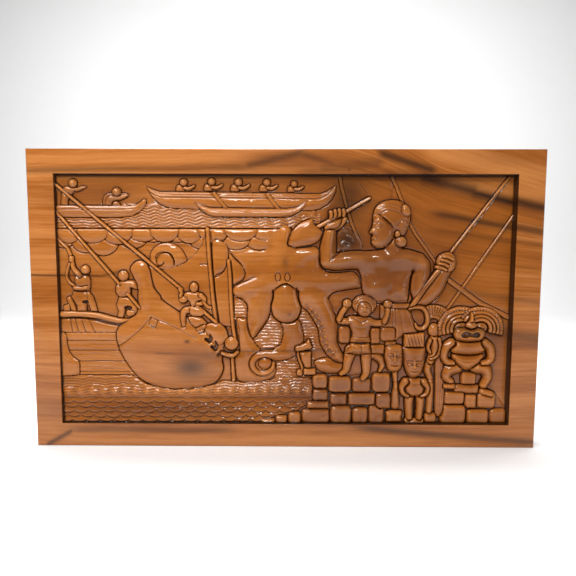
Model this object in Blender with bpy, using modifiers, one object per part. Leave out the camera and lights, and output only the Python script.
"""Carved wall panel: a storyboard relief sunk into one thick hardwood board.

The board lies in the XZ plane with its back on y = 0 and its carved face towards -Y.
The relief is drawn as heights above the sunk ground, on a sheet the size of the opening.
That sheet is the underside of the waste block that the carver takes out of the board.
"""

import math

import bmesh
import bpy
import numpy as np

# Driving dimensions, metres
PANEL_WIDTH = 0.914
PANEL_HEIGHT = 0.538
PANEL_THICKNESS = 0.038
SIDE_BORDER = 0.047
TOP_BORDER = 0.043
BOTTOM_BORDER = 0.042
EDGE_EASE = 0.0015
GROUND_DEPTH_LEFT = 0.010
GROUND_DEPTH_RIGHT = 0.018
SKIN_LEFT_ON_FIGURES = 0.0008
GRID_STEP = 0.0018
WASTE_CLEARANCE = 0.006
RELIEF_TRIANGLES = 9200

# The figures are laid out on a drawing of the opening, in drawing millimetres
DRAWING_LEFT = -405.0
DRAWING_RIGHT = 403.0
DRAWING_BOTTOM = -222.5
DRAWING_TOP = 224.5
CARVING_SCALE = 0.001

# Heights of the layers above the ground, in drawing millimetres
CLOUD = 2.2
WATER = 2.0
HULL = 4.5
FIGURE = 5.0
BEAST = 7.5
GIANT = 9.0
STONE = 8.0
IDOL = 10.0


def smooth_line(points, closed=False, steps=5):
    """Points of a round line through the given ones: each stretch is a Catmull-Rom cubic."""
    p = np.array(points, float)
    if closed:
        p = np.vstack([p[-1], p, p[0], p[1]])
    else:
        p = np.vstack([2 * p[0] - p[1], p, 2 * p[-1] - p[-2]])
    t = np.linspace(0, 1, steps, endpoint=False)[:, None, None]
    a, b, c, d = p[:-3], p[1:-2], p[2:-1], p[3:]
    line = 0.5 * (2 * b + (c - a) * t + (2 * a - 5 * b + 4 * c - d) * t**2 + (3 * b - a - 3 * c + d) * t**3)
    line = line.transpose(1, 0, 2).reshape(-1, p.shape[1])
    return line if closed else np.vstack([line, p[-2]])


def arc(x, z, radius_x, radius_z, start, end, count=9):
    """Points along an ellipse, angles in degrees anticlockwise from +X."""
    angles = np.radians(np.linspace(start, end, count))
    return np.column_stack([x + radius_x * np.cos(angles), z + radius_z * np.sin(angles)])


class Relief:
    """Heights above the ground on a grid of drawing millimetres. Later forms lie over earlier ones."""

    def __init__(self, xs, zs):
        self.xs = xs
        self.zs = zs
        self.high = np.zeros((len(zs), len(xs)))

    def window(self, points, reach):
        points = np.asarray(points, float)
        i0, i1 = np.searchsorted(self.xs, (points[:, 0].min() - reach, points[:, 0].max() + reach))
        j0, j1 = np.searchsorted(self.zs, (points[:, 1].min() - reach, points[:, 1].max() + reach))
        part = (slice(j0, j1), slice(i0, i1))
        return part, self.xs[None, i0:i1], self.zs[j0:j1, None]

    def lay(self, part, inside, share, base, high, join=False):
        """Puts a cushion over what is there: its edge stands at base and its crown at base + high.

        A joined cushion only shows where it stands above what is there.
        """
        share = np.clip(share, 0, 1)
        cushion = base + high * np.sqrt(share * (2 - share))
        if join:
            cushion = np.maximum(cushion, self.high[part])
        self.high[part] = np.where(inside, cushion, self.high[part])

    def limb(self, path, base, high, smooth=False, join=False):
        """A rounded ridge along (x, z, radius) points; its height follows the half circle across it."""
        path = smooth_line(path) if smooth else np.array(path, float)
        part, x, z = self.window(path, path[:, 2].max())
        share = np.full((z.shape[0], x.shape[1]), -1.0)
        for (ax, az, ar), (bx, bz, br) in zip(path[:-1], path[1:]):
            dx, dz = bx - ax, bz - az
            t = np.clip(((x - ax) * dx + (z - az) * dz) / max(dx * dx + dz * dz, 1e-9), 0, 1)
            away = np.hypot(x - ax - t * dx, z - az - t * dz)
            share = np.maximum(share, 1 - away / (ar + (br - ar) * t))
        self.lay(part, share > 0, share, base, high, join)

    def oval(self, x, z, radius_x, radius_z, base, high, turn=0):
        """A dome on an ellipse turned by so many degrees."""
        reach = max(radius_x, radius_z)
        part, gx, gz = self.window([(x, z)], reach)
        c, s = math.cos(math.radians(turn)), math.sin(math.radians(turn))
        u = ((gx - x) * c + (gz - z) * s) / radius_x
        v = ((gz - z) * c - (gx - x) * s) / radius_z
        share = 1 - np.hypot(u, v)
        self.lay(part, share > 0, share, base, high)

    def outline(self, points, base, high, edge, smooth=True):
        """A plate with a quarter-round edge, inside a closed line."""
        line = smooth_line(points, closed=True) if smooth else np.array(points, float)
        part, x, z = self.window(line, 0)
        near = np.full((z.shape[0], x.shape[1]), 1e9)
        inside = np.zeros(near.shape, bool)
        for (ax, az), (bx, bz) in zip(line, np.roll(line, -1, 0)):
            dx, dz = bx - ax, bz - az
            t = np.clip(((x - ax) * dx + (z - az) * dz) / max(dx * dx + dz * dz, 1e-9), 0, 1)
            near = np.minimum(near, np.hypot(x - ax - t * dx, z - az - t * dz))
            if az != bz:
                inside ^= ((z > az) != (z > bz)) & (x < ax + (z - az) * dx / dz)
        self.lay(part, inside, near / edge, base, high)

    def block(self, left, right, bottom, top, base, high, edge, corner=0.3):
        """A pillow on a rectangle; its corner radius is a share of its shorter side."""
        radius = corner * min(right - left, top - bottom)
        part, x, z = self.window([(left, bottom), (right, top)], 0)
        u = np.abs(x - (left + right) / 2) - (right - left) / 2 + radius
        v = np.abs(z - (bottom + top) / 2) - (top - bottom) / 2 + radius
        depth = radius - np.hypot(np.maximum(u, 0), np.maximum(v, 0)) - np.minimum(np.maximum(u, v), 0)
        self.lay(part, depth > 0, depth / edge, base, high)

    def cut(self, path, half_width, deep):
        """A V cut along a line."""
        path = np.array(path, float)
        part, x, z = self.window(path, half_width)
        away = np.full((z.shape[0], x.shape[1]), half_width)
        for (ax, az), (bx, bz) in zip(path[:-1], path[1:]):
            dx, dz = bx - ax, bz - az
            t = np.clip(((x - ax) * dx + (z - az) * dz) / max(dx * dx + dz * dz, 1e-9), 0, 1)
            away = np.minimum(away, np.hypot(x - ax - t * dx, z - az - t * dz))
        self.high[part] -= deep * (1 - away / half_width)

    def swell(self, x, z, radius_x, radius_z, high, turn=0):
        """Adds a soft bump, high at its middle and level at its rim (a hollow if high is below 0)."""
        reach = max(radius_x, radius_z)
        part, gx, gz = self.window([(x, z)], reach)
        c, s = math.cos(math.radians(turn)), math.sin(math.radians(turn))
        u = ((gx - x) * c + (gz - z) * s) / radius_x
        v = ((gz - z) * c - (gx - x) * s) / radius_z
        away = np.clip(np.hypot(u, v), 0, 1)
        self.high[part] += high * (1 - away * away) ** 2


def cloud(relief, x, level, width, drop, base):
    """A scallop that hangs from the waterline: an ellipse cut off at the line, with a quarter-round edge."""
    part, gx, gz = relief.window([(x - width, level - drop), (x + width, level)], 0)
    share = 1 - np.hypot((gx - x) / width, (gz - level - 4) / (drop + 4))
    relief.lay(part, share > 0, share * width / 11, base, CLOUD)


def clouds(relief):
    for x, level, width, drop in [(-356, 107, 23, 20), (-326, 109, 29, 27), (-271, 112, 21, 17),
                                  (-153, 112, 17, 17), (-47, 109, 24, 16), (-89, 110, 24, 17)]:
        cloud(relief, x, level, width, drop, 0.4)
    for x, width, drop in [(-253, 26, 21), (-299, 26, 25), (-386, 21, 20), (-343, 26, 21), (-171, 22, 25),
                           (-215, 24, 22), (-128, 26, 21), (-36, 24, 19), (-80, 27, 21)]:
        cloud(relief, x, 128, width, drop, 1.4)


def rower(relief, head, head_radius, body, hands):
    """A paddler seen above the gunwale: back, arm with paddle, and head."""
    relief.limb([(*body, 8), (head[0] - 4, head[1] - 10, 6)], 1, FIGURE - 1)
    relief.limb([(body[0] + 3, body[1] + 2, 3.5), (*hands, 2.5)], 1, FIGURE)
    relief.oval(*head, head_radius, head_radius * 1.05, 1, FIGURE + 0.5)


def canoes(relief):
    relief.block(-410, -140, 130, 171, 0, WATER, 3, 0)
    relief.block(-150, 50, 130, 166, 0, WATER, 3, 0)
    relief.outline([(-396, 169), (-395, 186), (-393, 199), (-386, 203.5), (-368, 200.5), (-350, 202.5),
                    (-366, 194.5),
                    (-373, 194), (-378, 187), (-385, 169)], 1, FIGURE - 1, 6)
    relief.outline([(-320, 169), (-319, 182), (-312, 189), (-292, 189), (-277, 189), (-291, 180), (-306, 176),
                    (-305, 169)], 1, FIGURE - 1, 6)
    relief.oval(-374.5, 208.5, 7.6, 7.8, 1, FIGURE + 1)
    relief.oval(-298, 193.5, 8, 8, 1, FIGURE + 1)
    rower(relief, (-178, 210), 6.5, (-188, 196), (-158, 205))
    rower(relief, (-131, 212), 6.5, (-142, 198), (-112, 205))
    rower(relief, (-84, 210.5), 7, (-93, 196), (-64, 203))
    rower(relief, (-34, 211), 6, (-46, 196), (-22, 200))
    rower(relief, (16, 208), 5, (4, 198), (38, 204))
    hull_near = [(-407, 170), (-275, 169.5), (-264, 171), (-258, 175), (-252, 181), (-246, 180), (-247, 173),
                 (-255, 163), (-264, 156), (-280, 151), (-300, 149.5), (-407, 149.5)]
    relief.outline(hull_near, 1, HULL, 8, smooth=False)
    relief.cut([(-407, 162), (-262, 162)], 2, 1.5)
    hull_far = [(-245, 203), (-232, 197.5), (-222, 194.5), (60, 191.5), (73, 197), (87, 206), (86, 195),
                (80, 182), (72, 173), (60, 166), (44, 162), (-160, 165), (-205, 167.5), (-222, 173),
                (-234, 185), (-242, 195)]
    relief.outline(hull_far, 1, HULL, 9, smooth=False)
    relief.cut([(-236, 190), (-220, 183.5), (50, 182), (66, 185), (80, 197)], 2, 1.5)
    relief.limb([(-128, 191, 3), (-106, 164, 3)], 3, 4)
    relief.limb([(-32, 189, 3), (-13, 163, 3)], 3, 4)
    float_log = [(-160, 175), (-148, 171), (-130, 165.5), (2, 165), (17, 168), (36, 179), (28, 164),
                 (10, 153.5), (-8, 152), (-125, 152), (-145, 159)]
    relief.outline(float_log, 3, HULL, 7, smooth=False)


def breaker(relief):
    """The curling wave behind the beast's tail: a domed plate with a spiral cut round its smaller disc."""
    edge = [(-240, 66), (-241.5, 78), (-239, 89), (-231, 98.5), (-219, 104), (-205, 104.5), (-194, 100),
            (-185, 92),
            (-179.5, 82), (-178, 72), (-200, 62), (-222, 58)]
    relief.outline(edge, 0.5, 4.6, 13)
    relief.cut([(-231.5, 76), (-230, 82), (-224, 87), (-215, 88.5), (-207, 86), (-202, 80), (-199, 73),
                (-199, 65)],
               3.0, 3.4)


def masts(relief):
    """The sail behind the masts, the rocks and the plank between them, and the two masts."""
    sail = [(-246, 66), (-222, 61), (-200, 64.5), (-180, 70.5), (-165, 80), (-155, 92), (-148, 105),
            (-143, 118),
            (-141, 129), (-132, 129), (-120, -45), (-245, -45)]
    relief.outline(sail, 0.2, 1.3, 2.5, False)
    relief.outline([(-130, 108), (-113, 107), (-105, 100), (-103, 84), (-104, 70), (-108, 60), (-115, 53),
                    (-124, 49), (-130, 48)], 0.6, 2.6, 9)
    relief.outline([(-128, 43), (-119, 46), (-111, 53), (-106, 62), (-104, 74), (-96, 74), (-90, -45),
                    (-128, -45)],
                   0, 2, 3, False)
    relief.outline([(-101, 84), (-92, 76), (-82, 68), (-76, 59), (-73.5, 50), (-76, 42), (-83, 36),
                    (-98, 33)],
                   0.2, 3.2, 7)
    relief.limb([(-139, 129, 3.8), (-136.5, 80, 3.8), (-133.5, 45, 3.8), (-130, 0, 3.8),
                 (-125.5, -38, 3.8)], 1.4, 3)
    relief.limb([(-102, 73, 3.6), (-100, 55, 3.6), (-98, 0, 3.6), (-95.5, -40, 3.6), (-92, -66, 3.6)], 1.8, 3)
    relief.limb([(-97, -98, 3.5), (-94, -148, 3.5)], 1.8, 3)


def man_at_tiller(relief):
    base = 1.2
    relief.limb([(-408, 116, 3), (-398, 104, 3), (-388, 94, 3), (-383, 82, 3)], 0.8, 3)
    legs = [(-379, 18), (-352, 18), (-345, 8), (-341, -4), (-338, -18), (-349, -18), (-353, -8), (-357, -3),
            (-357, -18), (-374, -18), (-374, -8), (-379, 0), (-384, 8)]
    relief.outline(legs, base, FIGURE - 1.5, 7, False)
    body = [(-376, 44), (-367, 50), (-355, 48), (-349.5, 40), (-350, 24), (-354, 19), (-374, 19), (-376, 30)]
    relief.outline(body, base, FIGURE, 9)
    relief.limb([(-367, 46, 5.4), (-375, 54, 4.4), (-380, 66, 4), (-381, 78, 4.5)], base, FIGURE, True)
    relief.limb([(-385, 67, 2.5), (-390, 50, 2.5), (-386, 34, 2.5), (-376, 25, 3.5),
                 (-355, 24, 4)], base, 4.5, True)
    relief.oval(-357.5, 56, 8, 8.6, base, FIGURE + 1)


def man_with_lance(relief):
    base = 1.2
    legs = [(-298, 8), (-280, 8), (-272, -2), (-265, -10), (-264, -18), (-270, -27), (-284, -28), (-283, -21),
            (-288, -12), (-290, -24), (-293, -30), (-302, -28), (-300, -16), (-304, -6)]
    relief.outline(legs, base, FIGURE - 1.2, 7, False)
    relief.block(-286, -270, -26, -16, base, 3.2, 4)
    body = [(-302, 30), (-294, 37), (-280, 38), (-268, 36), (-263, 26), (-268, 21), (-277, 23), (-278, 12),
            (-284, 9), (-296, 8), (-303, 14), (-304, 22)]
    relief.outline(body, base, FIGURE, 9)
    relief.oval(-290, 46, 9.3, 9.8, base, FIGURE + 0.8)


def deck(relief):
    """Planked hull at the left, its slats under the rounded beam, and the rudder."""
    relief.block(-409, -262, -140, -31, 0, 1.8, 2, 0)
    for z, left, right in [(-57, -400, -306), (-71.5, -394, -302), (-89.5, -390, -299), (-109.5, -375, -289),
                           (-135.5, -378, -270)]:
        relief.cut([(left, z), (right, z)], 2.5, 1.8)
    for top, bottom in [(-388, -384), (-379, -373), (-368, -360), (-355, -343.5)]:
        relief.cut([(top, -31), (bottom, -57)], 2.5, 1.8)
    relief.limb([(-388, 4, 4.8), (-379, -20, 4.8)], 1, 2.6)
    beam = [(-402, -23.5, 5.6), (-382, -23, 5.4), (-358, -23.5, 5.4), (-333, -27, 5.4), (-310, -33, 5.2),
            (-290, -35.5, 4.4), (-279, -34.5, 3.2)]
    relief.limb(beam, 1.6, 4.8)
    rudder = [(-410, -57), (-400, -57), (-396, -62), (-395, -80), (-391, -93), (-384, -102), (-376, -108),
              (-374, -114), (-374, -132), (-380, -139), (-389, -147), (-401, -153), (-410, -154)]
    relief.outline(rudder, 1, 4.2, 11, False)


def sea(relief):
    relief.outline([(-410, -137), (-280, -135), (-130, -150), (-80, -146), (-20, -139), (48, -141),
                    (48, -181),
                    (20, -202), (-22, -212), (-44, -224), (-410, -224)], 0, 2.5, 4, False)
    relief.limb([(-404, -163, 13), (30, -163, 11)], 1.6, 3, join=True)
    for row, level in enumerate((-186.5, -195.5, -204.5, -213.5)):
        for x in np.arange(-400 + 12.5 * (row % 2), 8 - 12 * row, 25.0):
            relief.oval(x, level + 6, 12.5, 6.5, 0.8, 2.2)


def whale(relief):
    body = [(-277, 56), (-270, 69), (-258, 72), (-248, 66), (-241, 45), (-236, 24), (-222, 2), (-201, -13),
            (-176, -29), (-150, -40), (-124, -44), (-113, -58), (-112, -80), (-116, -105), (-114, -124),
            (-126, -146), (-150, -156), (-178, -160), (-212, -160), (-242, -153), (-268, -137), (-289, -109),
            (-301, -82), (-304, -56), (-294, -40), (-274, -28), (-264, -14), (-262, 4), (-265, 28)]
    relief.outline(body, 1, BEAST, 34)
    relief.outline([(-143, -43), (-134, -39), (-122, -37), (-112, -45), (-104, -58), (-108, -74), (-118, -92),
                    (-128, -76), (-140, -62)], 5, 4, 12)
    for x, z in [(-138, -68), (-129, -84), (-119, -96)]:
        relief.oval(x, z, 6, 5, 2, 0.5)
    relief.cut([(-301, -82), (-280, -68), (-258, -48), (-240, -27), (-215, -39), (-190, -50),
                (-172, -60)], 2, 1)
    relief.limb([(-112, -93, 3), (-97, -98, 3.5), (-86, -87, 3)], 4, 4, True)
    relief.oval(-97, -75, 12, 12, 3, FIGURE)


def harpooner(relief):
    """The man who stands on the beast's back."""
    base = 4.5
    relief.limb([(-164, -16, 6), (-182, -20, 5.5), (-182, -43, 4)], base, 3.5)
    relief.limb([(-156, -18, 7), (-164, -36, 6.5), (-149, -48, 5)], base, 3.5)
    relief.outline([(-178, 14), (-163, 18), (-147, 9), (-150, -6), (-150, -20), (-168, -14),
                    (-172, -4)], base, 4, 7)
    relief.limb([(-175, 14, 4), (-185, 19, 3.5)], base, 4)
    relief.limb([(-168, 4, 4), (-183, 4, 5)], base, 4.5)
    relief.limb([(-149, 11, 4), (-145, 1, 3.5), (-155, -3, 3.5)], base, 4.5)
    relief.oval(-163, 26, 7, 8.5, base, 4.5)


def lances(relief):
    relief.limb([(-408, 209, 2.6), (-186, 22, 2.6)], 3, 4)
    relief.limb([(-172, 3, 2.6), (-125, -37, 2.6)], 6, 2.5)
    relief.limb([(-408, 162, 2.6), (-296, 30, 2.6)], 3, 3.5)
    relief.limb([(-283, 14, 2.6), (-262, -11, 2.6)], 3, 3.5)


def octopus(relief):
    base = 1.0
    plane = [(-100, 90), (-88, 96), (-70, 100), (-40, 98), (-30, 106), (-24, 120), (-10, 128), (0, 100),
             (-10, 50), (-60, 40), (-74, 38), (-72, 52), (-80, 67), (-92, 80)]
    relief.outline(plane, 0.4, 2.6, 8)
    hull = [(-88, -33), (-77, -31), (-69, -34), (-67, -50), (-62, -64), (-55, -78), (-46, -88), (-42, -104),
            (-22, -112), (-18, -124), (-24, -138), (-40, -145), (-62, -148), (-82, -146), (-89, -138),
            (-91, -122),
            (-92, -106), (-90, -97), (-83, -88), (-84, -70)]
    relief.outline(hull, 0.8, 4.6, 12)
    mantle = [(-14, 129), (-4, 131), (9, 129), (9, 112), (14, 99), (34, 97), (52, 98), (60, 88), (60, 70),
              (66, 58), (78, 52), (98, 52), (118, 54), (127, 48), (132, 39), (134, 27), (116, 23), (98, 20),
              (84, 16), (76, 8), (74, -4), (82, -16), (90, -29), (94, -47), (92, -72), (99, -89), (106, -100),
              (106, -112), (92, -109), (78, -100), (68, -86), (62, -72), (59, -50), (50, -33), (40, -18),
              (28, -7),
              (24, 4), (19, 24), (-20, 24), (-23, 10), (-26, -10), (-34, -33), (-48, -53), (-60, -66),
              (-67, -50), (-69, -34), (-68, -12), (-71, -2), (-80, 4), (-96, 5), (-96, 32), (-84, 34),
              (-66, 39), (-50, 48), (-38, 58), (-30, 72), (-28, 90), (-24, 110)]
    relief.outline(mantle, base, 5.4, 10)
    for path in [[(-96, 19, 12), (-70, 22, 15), (-40, 30, 17), (-10, 44, 20)],
                 [(-2, 126, 10), (-2, 100, 18), (-4, 66, 26), (-2, 40, 28)],
                 [(52, 86, 9), (34, 84, 12), (16, 70, 20)],
                 [(10, 44, 24), (50, 36, 17), (90, 36, 15), (120, 38, 12)],
                 [(-46, 12, 18), (-48, -14, 17), (-50, -34, 12), (-58, -55, 5)],
                 [(46, 14, 22), (62, -6, 17), (74, -32, 15), (78, -58, 13), (82, -80, 12), (94, -97, 9)]]:
        relief.limb(path, base, BEAST + 0.4, True, join=True)
    relief.outline([(52, -110), (64, -104), (78, -103), (90, -111), (104, -114), (104, -124), (98, -130),
                    (82, -131), (68, -129), (58, -124)], base, 5.4, 10)
    trunk = [(-8, -36), (22, -34), (29, -50), (32, -66), (30, -80), (19, -86), (18, -98), (4, -104),
             (-10, -108),
             (-24, -106), (-28, -94), (-18, -84), (-9, -78), (-5, -64), (-4, -50)]
    relief.outline(trunk, base, BEAST - 2.2, 12)
    relief.limb([(4, -96, 9), (-16, -97, 9), (-36, -96, 8), (-52, -100, 7), (-60, -110, 6.5), (-58, -122, 6),
                 (-48, -130, 6), (-35, -130, 5.5), (-25, -122, 4.6),
                 (-22, -113, 3.4)], base, BEAST - 1.6, True,
                join=True)
    relief.oval(-38, -113, 12.5, 11, 1.2, 4.4)
    sack = [(-19, 24), (-23, 6), (-27, -10), (-22, -27), (-10, -36.5), (2, -38.5), (14, -36), (22, -28),
            (27, -13),
            (23, 2), (18, 22), (0, 34)]
    relief.outline(sack, base + 1, BEAST - 0.6, 16)
    relief.limb([(146, -104, 3), (153, -98, 5.5), (163, -98, 7), (172, -106, 7), (175, -117, 5),
                 (170, -127, 2)],
                base, 6, True)
    for x in (-14, 3):
        relief.oval(x, 44.5, 4.2, 6.5, BEAST + 1, 1.2)
    for x, z in [(38, -11), (48, -21), (57, -34), (64, -50), (67.5, -67), (72, -82), (83, -97)]:
        relief.oval(x, z, 5.5, 5.5, BEAST - 1.5, 1.4)


def club(relief):
    relief.outline([(70, 128), (68, 136), (74, 143), (88, 147), (103, 149), (98, 138),
                    (88, 128)], 2.4, 6.5, 8)
    relief.limb([(50, 130, 3.6), (98, 156, 3.6), (147, 184, 3.6)], 5, 3.6)
    relief.oval(91, 157, 15, 8, 5.4, 4.4, 12)
    blade = [(5, 98), (4, 112), (12, 128), (28, 142), (47, 147), (51, 138), (63, 123), (58, 110),
             (42, 101), (20, 96)]
    relief.outline(blade, 2, 7, 7)


def spears(relief):
    for path in [[(95, 222), (108, 172), (120, 138), (134, 100)], [(187, 222), (205, 177), (219, 140),
        (268, 70)]]:
        relief.limb([(x, z, 3.2) for x, z in path], 0.9, 2.6)
    relief.limb([(404, 156, 2.8), (283, -25, 2.8)], 0.9, 3)
    relief.limb([(292, 39, 4.2), (350, -3, 4.2), (402, -28, 4.2)], 0.9, 2.8)


def giant(relief):
    base = 1.0
    relief.outline([(170, -6), (222, -8), (228, -28), (240, -60), (212, -62), (200, -70),
                    (170, -72)], base, 5, 9,
                   False)
    torso = [(134, 48), (136, 30), (140, 14), (150, 2), (170, -2), (222, -1), (222, 20), (224, 40), (230, 58),
             (246, 76), (230, 88), (205, 95), (185, 99), (160, 90), (140, 88), (124, 70)]
    relief.outline(torso, base, GIANT - 0.6, 20)
    for path in [[(244, 66, 14), (242, 44, 16), (239, 22, 15), (241, 8, 12)],
                 [(236, 72, 16), (210, 78, 17), (180, 76, 18), (148, 74, 17), (118, 75, 16), (92, 72, 15),
                  (76, 72, 14)],
                 [(75, 74, 14), (75, 94, 14.5), (77, 112, 12.5), (79, 130, 9.5)],
                 [(190, 104, 15), (192, 84, 18)]]:
        relief.limb(path, base, GIANT + 0.4, True, join=True)
    relief.cut([(227, 54), (223, 40), (221, 18), (219, 2)], 4, 5)
    relief.swell(200, 52, 26, 18, -2.4, 10)
    relief.swell(165, 26, 28, 17, 2.2, 12)
    relief.swell(204, 20, 22, 15, 1.8)
    relief.block(188, 223, -12.5, -2.5, base + 2, 4, 5, 0.2)
    relief.outline([(232, -4), (242, -7), (252, -6), (263, 0), (275, 11), (284, 26), (290, 42), (297, 58),
                    (300, 72), (284, 78), (272, 64), (256, 36), (238, 10)], base, GIANT - 0.6, 13)
    relief.outline([(156, 160), (160, 170), (171, 178), (186, 181), (201, 179), (213, 171), (219, 160),
                    (220, 148),
                    (217, 134), (211, 121), (203, 116), (194, 120), (190, 134), (176, 148), (164, 154)],
                   base + 1, GIANT - 0.5, 16)
    relief.outline([(160, 158), (154, 143), (153, 134), (148.5, 123.5), (153, 119), (152, 106.5), (156, 100),
                    (164, 96.5), (176, 98), (186, 106), (192, 118), (190, 132), (178, 146), (168, 153)],
                   base + 2.4, GIANT - 1, 12)
    relief.outline([(203, 158), (204, 170), (211, 173), (217, 166), (219, 156), (211, 152)], base + 6, 4.6, 7)
    relief.oval(203, 107.5, 10.5, 9.5, base + 5, 6.5)
    relief.limb([(393, 222, 2.8), (272, 60, 3)], 2.6, 4)
    relief.limb([(274, 60, 4), (248, 26, 4), (223, -12, 4)], 7.4, 2.8)
    relief.outline([(270, 64), (268, 74), (274, 84), (286, 89), (297, 86), (302, 76), (301, 62), (292, 54),
                    (282, 58)],
                   base + 3, GIANT - 3, 9)


def stones(relief):
    rows = [
        (-224, [(-40, -19, -214), (-17, 4, -208), (6, 29, -202), (31, 79, -198), (83, 120, -191),
                (123, 150, -195),
                (152, 178, -190), (283, 329, -188), (331, 371, -196), (373, 404, -195)]),
        (-196, [(42, 80, -183)]),
        (-190, [(82, 112, -168), (115, 163, -167)]),
        (-183, [(50, 76, -158)]),
        (-196, [(165, 192, -166)]),
        (-165, [(77, 119, -136), (122, 155, -138), (158, 190, -128)]),
        (-157, [(50, 76, -131)]),
        (-151, [(318, 346, -128)]),
        (-169, [(305, 352, -150)]),
        (-187, [(290, 326, -164)]),
        (-195, [(327, 348, -170), (350, 382, -166)]),
    ]
    for bottom, row in rows:
        for left, right, top in row:
            relief.block(left - 0.8, right + 0.8, bottom - 0.8, top + 0.8, 0.4, STONE * 0.9, 6, 0.24)
    for left, right, bottom, top in [(96, 116, -77, -43), (153, 170, -76, -48), (171, 197, -70, -45),
                                     (153, 178, -93, -78)]:
        relief.block(left, right, bottom, top, 1, 5, 6, 0.35)


def pot(relief):
    """The small altar at the foot of the stones."""
    relief.outline([(21, -85), (47, -85), (47, -118), (33, -120)], 2, 5, 6, False)
    relief.block(32, 55, -133, -121, 2, 5, 4, 0.3)
    relief.outline([(17, -83), (38, -76), (42, -67), (47, -86), (22, -92)], 3, 5, 5, False)


def man_with_hat(relief):
    base = 3.0
    relief.limb([(136, -84, 12), (140, -108, 9), (140, -132, 6), (137, -139, 6)], base, 6)
    relief.limb([(120, -84, 11), (112, -108, 8), (108, -126, 6), (102, -131, 4.5)], base, 6)
    relief.outline([(118, -74), (152, -74), (152, -92), (130, -97), (104, -93)], base, 7, 8, False)
    relief.outline([(116, -28), (152, -28), (150, -52), (150, -75), (118, -75), (119, -50)], base, 8, 12)
    relief.limb([(122, -35, 7), (96, -34, 6), (96, -26, 5), (110, -6, 5)], base, 7)
    relief.limb([(150, -38, 7), (174, -38, 6), (181, -26, 5), (182, -10, 5)], base, 7)
    relief.oval(112, -3, 8, 8, base + 1, 6)
    relief.oval(182, -4, 8, 8, base + 1, 6)
    relief.oval(141, -4, 21, 18, base, 6)
    relief.oval(141, -14, 13, 15, base + 2, 7)
    relief.cut([(118, -66), (150, -66)], 2.5, 1.5)
    relief.cut([(118, -74), (150, -74)], 2.5, 1.5)


def mask_on_stick(relief):
    relief.outline([(183, -198), (213, -198), (210, -218), (186, -218)], 2, 7, 6, False)
    relief.limb([(200, -124, 6), (200, -150, 4.5), (200, -172, 7), (200, -200, 8)], 2, 7)
    relief.block(180, 212, -127, -79, 3, IDOL - 2, 8, 0.4)
    for x in (191, 204):
        relief.oval(x, -94, 5, 3.5, 8, 0.5)
    relief.limb([(198, -90, 2), (198, -106, 3)], 10, 2.5)
    relief.oval(203, -116, 5, 3, 8, 0.5)


def tall_hat_idol(relief):
    base = 2.0
    relief.block(217, 252, -226, -215, base, 7, 5, 0.3)
    relief.limb([(227, -166, 9), (226, -190, 7.5), (226, -212, 6)], base, 8)
    relief.limb([(245, -166, 8), (245, -190, 7), (245, -212, 6)], base, 8)
    relief.limb([(219, -146, 8), (213, -158, 6), (216, -170, 5)], base, 7)
    relief.limb([(247, -148, 8), (254, -160, 5), (248, -170, 5)], base, 7)
    relief.outline([(217, -142), (253, -144), (250, -168), (219, -168)], base + 1, 8, 8)
    relief.outline([(214, -80), (249, -80), (249, -112), (245, -130), (232, -140), (220, -130), (214, -108)],
                   base + 1, IDOL, 10)
    relief.outline([(213, -60), (249, -58), (248, -82), (214, -82)], base + 2, 8, 5, False)
    for k in range(5):
        relief.cut([(216 + 6.5 * k, -62), (221 + 6.5 * k, -79)], 1.8, 1.5)
    relief.limb([(233, -104, 2.5), (233, -122, 4)], base + 8, 3)
    for x in (225, 241):
        relief.oval(x, -101, 5, 3.5, 9, 0.5)
    relief.limb([(225, -130, 2), (241, -130, 2)], 10, 1.5)


def feather_idol(relief):
    base = 2.0
    relief.block(253, 274, -221, -204, base, 6, 5, 0.3)
    relief.limb([(281, -118, 8), (280, -160, 8), (278, -200, 8)], base, 5)
    relief.limb([(266, -110, 8), (264, -145, 7), (264, -202, 7)], base, 7)
    relief.limb([(270, -68, 9), (271, -90, 8), (267, -112, 8)], base, 7)
    relief.limb([(265, -90, 4), (257, -108, 4)], base, 6)
    relief.outline(np.vstack([arc(266, -42, 37, 37, 18, 162, 13),
                              arc(266, -42, 12, 12, 162, 18, 7)]), base, 3.6, 4,
                   False)
    for angle in range(30, 151, 20):
        tip = arc(266, -42, 35, 35, angle, angle, 1)[0]
        root = arc(266, -42, 20, 20, angle, angle, 1)[0]
        relief.cut([root, tip], 2.4, 1.8)
    relief.oval(267, -50, 11, 13, base + 1, 6.6)
    relief.limb([(222, -12, 4), (246, -9, 4), (256, -26, 4), (254, -44, 4), (242, -49, 4),
                 (235, -38, 3)], base, 5, True)
    for k in range(3):
        relief.limb([(287 + 6 * k, -16 - 5 * k, 3), (291 + 4 * k, -52, 3)], base, 3)


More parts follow.
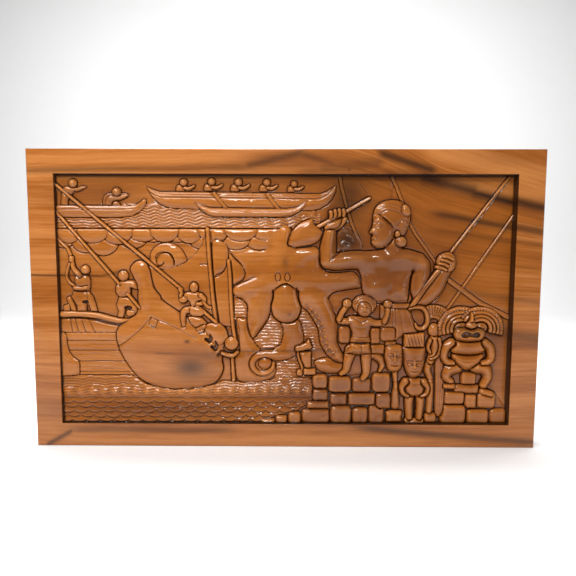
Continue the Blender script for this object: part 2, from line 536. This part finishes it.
def big_idol(relief):
    base = 2.0
    relief.limb([(309, -122, 12), (294, -128, 10), (296, -142, 8), (302, -155, 9)], base, 9)
    relief.limb([(344, -122, 12), (362, -126, 10), (362, -150, 9), (367, -167, 10)], base, 9)
    relief.outline([(303, -96), (353, -96), (351, -110), (327, -122), (304, -110)], base + 1, IDOL, 10)
    relief.outline([(300, -70), (358, -70), (357, -88), (329, -96), (302, -88)], base + 2, IDOL, 10)
    for side in (-1, 1):
        shoulder = 329 + side * 30
        relief.limb([(shoulder, -74, 8), (329 + side * 41, -90, 7), (329 + side * 38, -108, 7),
                     (329 + side * 24, -112, 6)], base, IDOL, True)
        centre = 333 + side * 19
        start, end = (28, 200) if side < 0 else (-18, 152)
        for radius, thick in ((38, 5), (28, 4), (20, 3.6)):
            line = arc(centre, -48, radius, radius * 0.92, start, end, 11)
            relief.limb([(x, z, thick) for x, z in line], base + 1, 11 - radius / 6)
        relief.oval(centre, -46, 12.5, 9, base + 3, 5)
    relief.limb([(333, -20, 2.4), (333, -30, 3.6), (333, -42, 9)], base + 5.6, 6.4)
    relief.outline([(302, -56), (306, -47), (318, -44), (346, -45), (357, -50), (359, -59), (352, -69),
                    (336, -72.5), (318, -72), (306, -67)], base + 2, IDOL - 0.4, 9)
    relief.outline([(314, -58), (320, -53), (334, -56), (348, -57), (346, -63), (331, -61.5),
                    (317, -63)], 5.4, 1, 3)


def carve(relief):
    clouds(relief)
    canoes(relief)
    masts(relief)
    breaker(relief)
    deck(relief)
    man_at_tiller(relief)
    man_with_lance(relief)
    sea(relief)
    octopus(relief)
    whale(relief)
    lances(relief)
    harpooner(relief)
    spears(relief)
    giant(relief)
    club(relief)
    stones(relief)
    pot(relief)
    mask_on_stick(relief)
    feather_idol(relief)
    tall_hat_idol(relief)
    big_idol(relief)
    man_with_hat(relief)


def clear_scene():
    for obj in list(bpy.data.objects):
        bpy.data.objects.remove(obj, do_unlink=True)


def collection(name):
    made = bpy.data.collections.new(name)
    bpy.context.scene.collection.children.link(made)
    return made


def wood():
    material = bpy.data.materials.new("varnished_hardwood")
    material.use_nodes = True
    shader = material.node_tree.nodes["Principled BSDF"]
    shader.inputs["Base Color"].default_value = (0.42, 0.17, 0.045, 1)
    shader.inputs["Roughness"].default_value = 0.35
    shader.inputs["Metallic"].default_value = 0
    return material


def move_to(obj, target):
    for old in list(obj.users_collection):
        old.objects.unlink(obj)
    target.objects.link(obj)


def blank_board(parts):
    """The uncut board with eased edges, its back on y = 0."""
    bpy.ops.mesh.primitive_cube_add(size=1, location=(0, -PANEL_THICKNESS / 2, 0))
    board = bpy.context.object
    board.name = "carved_panel"
    board.scale = (PANEL_WIDTH, PANEL_THICKNESS, PANEL_HEIGHT)
    bpy.ops.object.transform_apply(location=True, rotation=False, scale=True)
    move_to(board, parts)
    ease = board.modifiers.new("eased_edges", "BEVEL")
    ease.width = EDGE_EASE
    ease.segments = 2
    return board


def relief_sheet():
    """The carved floor of the opening as one sheet, thinned to the triangles that its shape needs."""
    left = SIDE_BORDER - PANEL_WIDTH / 2
    right = PANEL_WIDTH / 2 - SIDE_BORDER
    bottom = BOTTOM_BORDER - PANEL_HEIGHT / 2
    top = PANEL_HEIGHT / 2 - TOP_BORDER
    columns = round((right - left) / GRID_STEP)
    rows = round((top - bottom) / GRID_STEP)
    bpy.ops.mesh.primitive_grid_add(x_subdivisions=columns, y_subdivisions=rows, size=1)
    sheet = bpy.context.object
    sheet.name = "relief_sheet"
    mesh = sheet.data
    places = np.empty(len(mesh.vertices) * 3)
    mesh.vertices.foreach_get("co", places)
    places = places.reshape(rows + 1, columns + 1, 3)
    across = places[0, :, 0] + 0.5
    up = places[:, 0, 1] + 0.5
    relief = Relief(DRAWING_LEFT + across * (DRAWING_RIGHT - DRAWING_LEFT),
                    DRAWING_BOTTOM + up * (DRAWING_TOP - DRAWING_BOTTOM))
    carve(relief)
    slope = across * across * (3 - 2 * across)
    depth = GROUND_DEPTH_LEFT + (GROUND_DEPTH_RIGHT - GROUND_DEPTH_LEFT) * slope[None, :]
    depth = depth - CARVING_SCALE * relief.high
    depth = np.maximum(depth, SKIN_LEFT_ON_FIGURES)
    places[:, :, 0] = left + across[None, :] * (right - left)
    places[:, :, 2] = bottom + up[:, None] * (top - bottom)
    places[:, :, 1] = depth - PANEL_THICKNESS
    mesh.vertices.foreach_set("co", places.ravel())
    mesh.update()
    thin = sheet.modifiers.new("fewer_triangles", "DECIMATE")
    thin.ratio = RELIEF_TRIANGLES / (2 * rows * columns)
    return sheet


def waste_block(cutters):
    """What the carver takes away: the sheet, straight walls, and a flat face clear of the board."""
    sheet = relief_sheet()
    graph = bpy.context.evaluated_depsgraph_get()
    mesh = bpy.data.meshes.new_from_object(sheet.evaluated_get(graph))
    bpy.data.objects.remove(sheet, do_unlink=True)
    shape = bmesh.new()
    shape.from_mesh(mesh)
    rim = [edge for edge in shape.edges if edge.is_boundary]
    raised = bmesh.ops.extrude_edge_only(shape, edges=rim)["geom"]
    for vert in (item for item in raised if isinstance(item, bmesh.types.BMVert)):
        vert.co.y = -PANEL_THICKNESS - WASTE_CLEARANCE
    lid = [edge for edge in shape.edges if edge.is_boundary]
    bmesh.ops.contextual_create(shape, geom=lid)
    bmesh.ops.recalc_face_normals(shape, faces=shape.faces)
    shape.to_mesh(mesh)
    shape.free()
    block = bpy.data.objects.new("waste", mesh)
    cutters.objects.link(block)
    block.display_type = "WIRE"
    block.hide_render = True
    return block


def main():
    clear_scene()
    parts = collection("carved_wall_panel")
    cutters = collection("cutters")
    board = blank_board(parts)
    board.data.materials.append(wood())
    carving = board.modifiers.new("carving", "BOOLEAN")
    carving.operation = "DIFFERENCE"
    carving.object = waste_block(cutters)


main()
